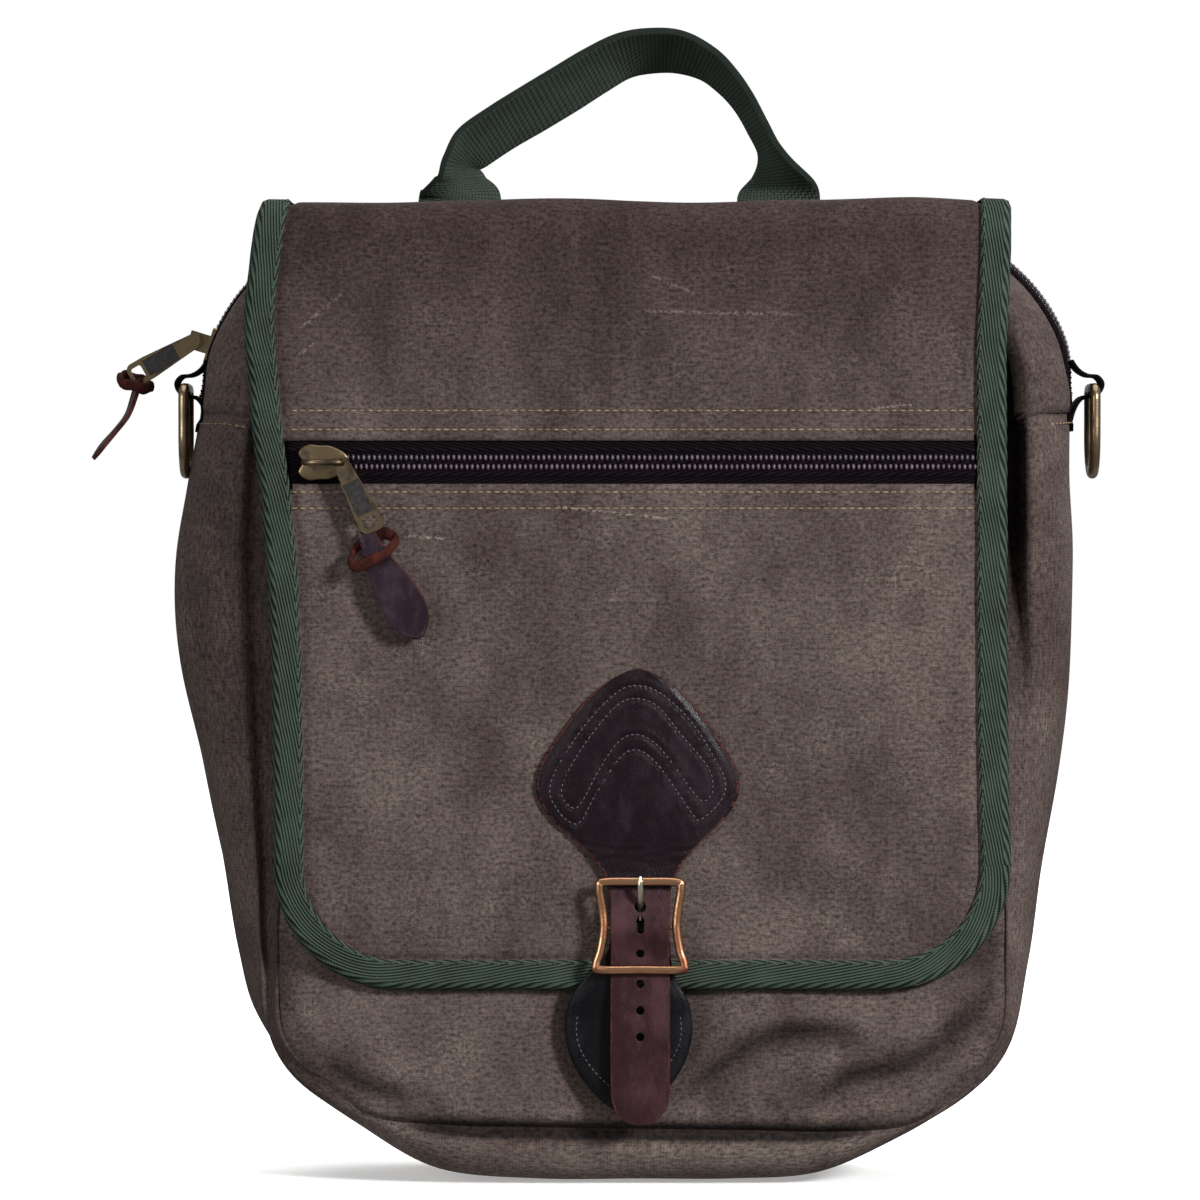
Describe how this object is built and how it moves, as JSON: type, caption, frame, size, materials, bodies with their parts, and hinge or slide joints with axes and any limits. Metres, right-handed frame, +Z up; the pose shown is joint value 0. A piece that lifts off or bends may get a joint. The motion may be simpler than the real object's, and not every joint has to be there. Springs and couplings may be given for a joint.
{
  "type": "messenger bag",
  "caption": "Waxed canvas messenger bag with a bound flap, zipped flap pocket, arched main zip, leather strap and buckle closure, D-rings and a top handle.",
  "frame": {"origin": "centre of the flat base the bag stands on", "axes": "+Z up, -Y the front with the flap and buckle, +X to the right seen from the front"},
  "size_m": [0.3823, 0.1425, 0.4356],
  "materials": {
    "waxed_canvas": "waxed, mottled",
    "zip_tape": "woven",
    "zip_coil": "satin",
    "zip_metal": "antique",
    "lining_cloth": "plain weave",
    "black_webbing": "woven",
    "green_webbing": "woven",
    "green_twill": "herringbone",
    "strap_leather": "worn, waxed",
    "dark_leather": "smooth, waxed",
    "rust_suede": "suede",
    "dark_inset": "gloss",
    "brass": "antique"
  },
  "bodies": {
    "bag": {"front_panel": "waxed_canvas", "back_panel": "waxed_canvas", "body_gusset": "waxed_canvas", "zip_gusset_front": "waxed_canvas", "zip_gusset_rear": "waxed_canvas", "main_zip_tape": "zip_tape", "main_zip_coil": "zip_coil", "main_zip_stops": "zip_metal", "lining": "lining_cloth", "tab_left": "black_webbing", "tab_right": "black_webbing", "snap_stud": "brass", "flap_hem": "waxed_canvas", "handle_ends": "green_webbing"},
    "flap_top": {"flap_top": "waxed_canvas", "flap_top_binding": "green_twill"},
    "flap": {"flap_upper_panel": "waxed_canvas", "flap_lower_panel": "waxed_canvas", "flap_lining": "lining_cloth", "pocket_sack": "lining_cloth", "flap_binding": "green_twill", "pocket_zip_tape": "zip_tape", "pocket_zip_coil": "zip_coil", "pocket_zip_stops": "zip_metal", "closure_strap": "strap_leather"},
    "closure": {"buckle_frame": "brass", "snap_tab": "dark_leather", "snap_socket": "brass"},
    "prong": {"buckle_prong": "brass"},
    "pocket_slider": {"pocket_slider": "brass"},
    "pocket_puller": {"pocket_puller": "brass", "pocket_puller_inset": "dark_inset"},
    "pocket_tag": {"pocket_lace": "rust_suede", "pocket_tag": "dark_leather"},
    "main_slider": {"main_slider": "brass"},
    "main_puller": {"main_puller": "brass", "main_puller_inset": "dark_inset"},
    "main_tag": {"main_lace": "rust_suede", "main_tag": "dark_leather"},
    "left_ring": {"left_ring": "brass"},
    "right_ring": {"right_ring": "brass"},
    "handle": {"handle": "green_webbing"}
  },
  "joints": [
    {"name": "flap_rear_fold", "type": "hinge", "parent": "bag", "child": "flap_top", "pos_m": [0, 0.0532, 0.3645], "axis": [-1, 0, 0], "range_deg": [0, 70]},
    {"name": "flap_front_fold", "type": "hinge", "parent": "flap_top", "child": "flap", "pos_m": [0, -0.05775, 0.3515], "axis": [-1, 0, 0], "range_deg": [0, 95]},
    {"name": "closure_lift", "type": "hinge", "parent": "flap", "child": "closure", "pos_m": [0, -0.0595, 0.121], "axis": [-1, 0, 0], "range_deg": [0, 70], "deforming": ["closure_strap"]},
    {"name": "prong_lift", "type": "hinge", "parent": "closure", "child": "prong", "pos_m": [0, -0.0628, 0.098], "axis": [1, 0, 0], "range_deg": [0, 105]},
    {"name": "pocket_zip_slide", "type": "slide", "parent": "flap", "child": "pocket_slider", "axis": [1, 0, 0], "range_m": [0, 0.239]},
    {"name": "pocket_puller_swing", "type": "hinge", "parent": "pocket_slider", "child": "pocket_puller", "pos_m": [-0.11, -0.0656, 0.2695], "axis": [0, 1, 0], "range_deg": [-55, 75]},
    {"name": "pocket_tag_swing", "type": "hinge", "parent": "pocket_puller", "child": "pocket_tag", "pos_m": [-0.09904, -0.0656, 0.24703], "axis": [0, 1, 0], "range_deg": [-26, 18]},
    {"name": "main_zip_run", "type": "hinge", "parent": "bag", "child": "main_slider", "pos_m": [-0.102, 0, 0.295], "axis": [0, 1, 0], "range_deg": [0, 38]},
    {"name": "main_puller_swing", "type": "hinge", "parent": "main_slider", "child": "main_puller", "pos_m": [-0.16751, -0.00295, 0.31503], "axis": [0, 1, 0], "range_deg": [-6, 80]},
    {"name": "main_tag_swing", "type": "hinge", "parent": "main_puller", "child": "main_tag", "pos_m": [-0.18916, -0.00295, 0.30253], "axis": [0, 1, 0], "range_deg": [-4, 50], "deforming": ["main_tag"]},
    {"name": "left_ring_swing", "type": "hinge", "parent": "bag", "child": "left_ring", "pos_m": [-0.171, 0, 0.297], "axis": [0, 1, 0], "range_deg": [0, 115]},
    {"name": "right_ring_swing", "type": "hinge", "parent": "bag", "child": "right_ring", "pos_m": [0.171, 0, 0.297], "axis": [0, -1, 0], "range_deg": [0, 115]},
    {"name": "handle_swing", "type": "hinge", "parent": "bag", "child": "handle", "pos_m": [0, 0.0564, 0.372], "axis": [-1, 0, 0], "range_deg": [-60, 80]}
  ]
}
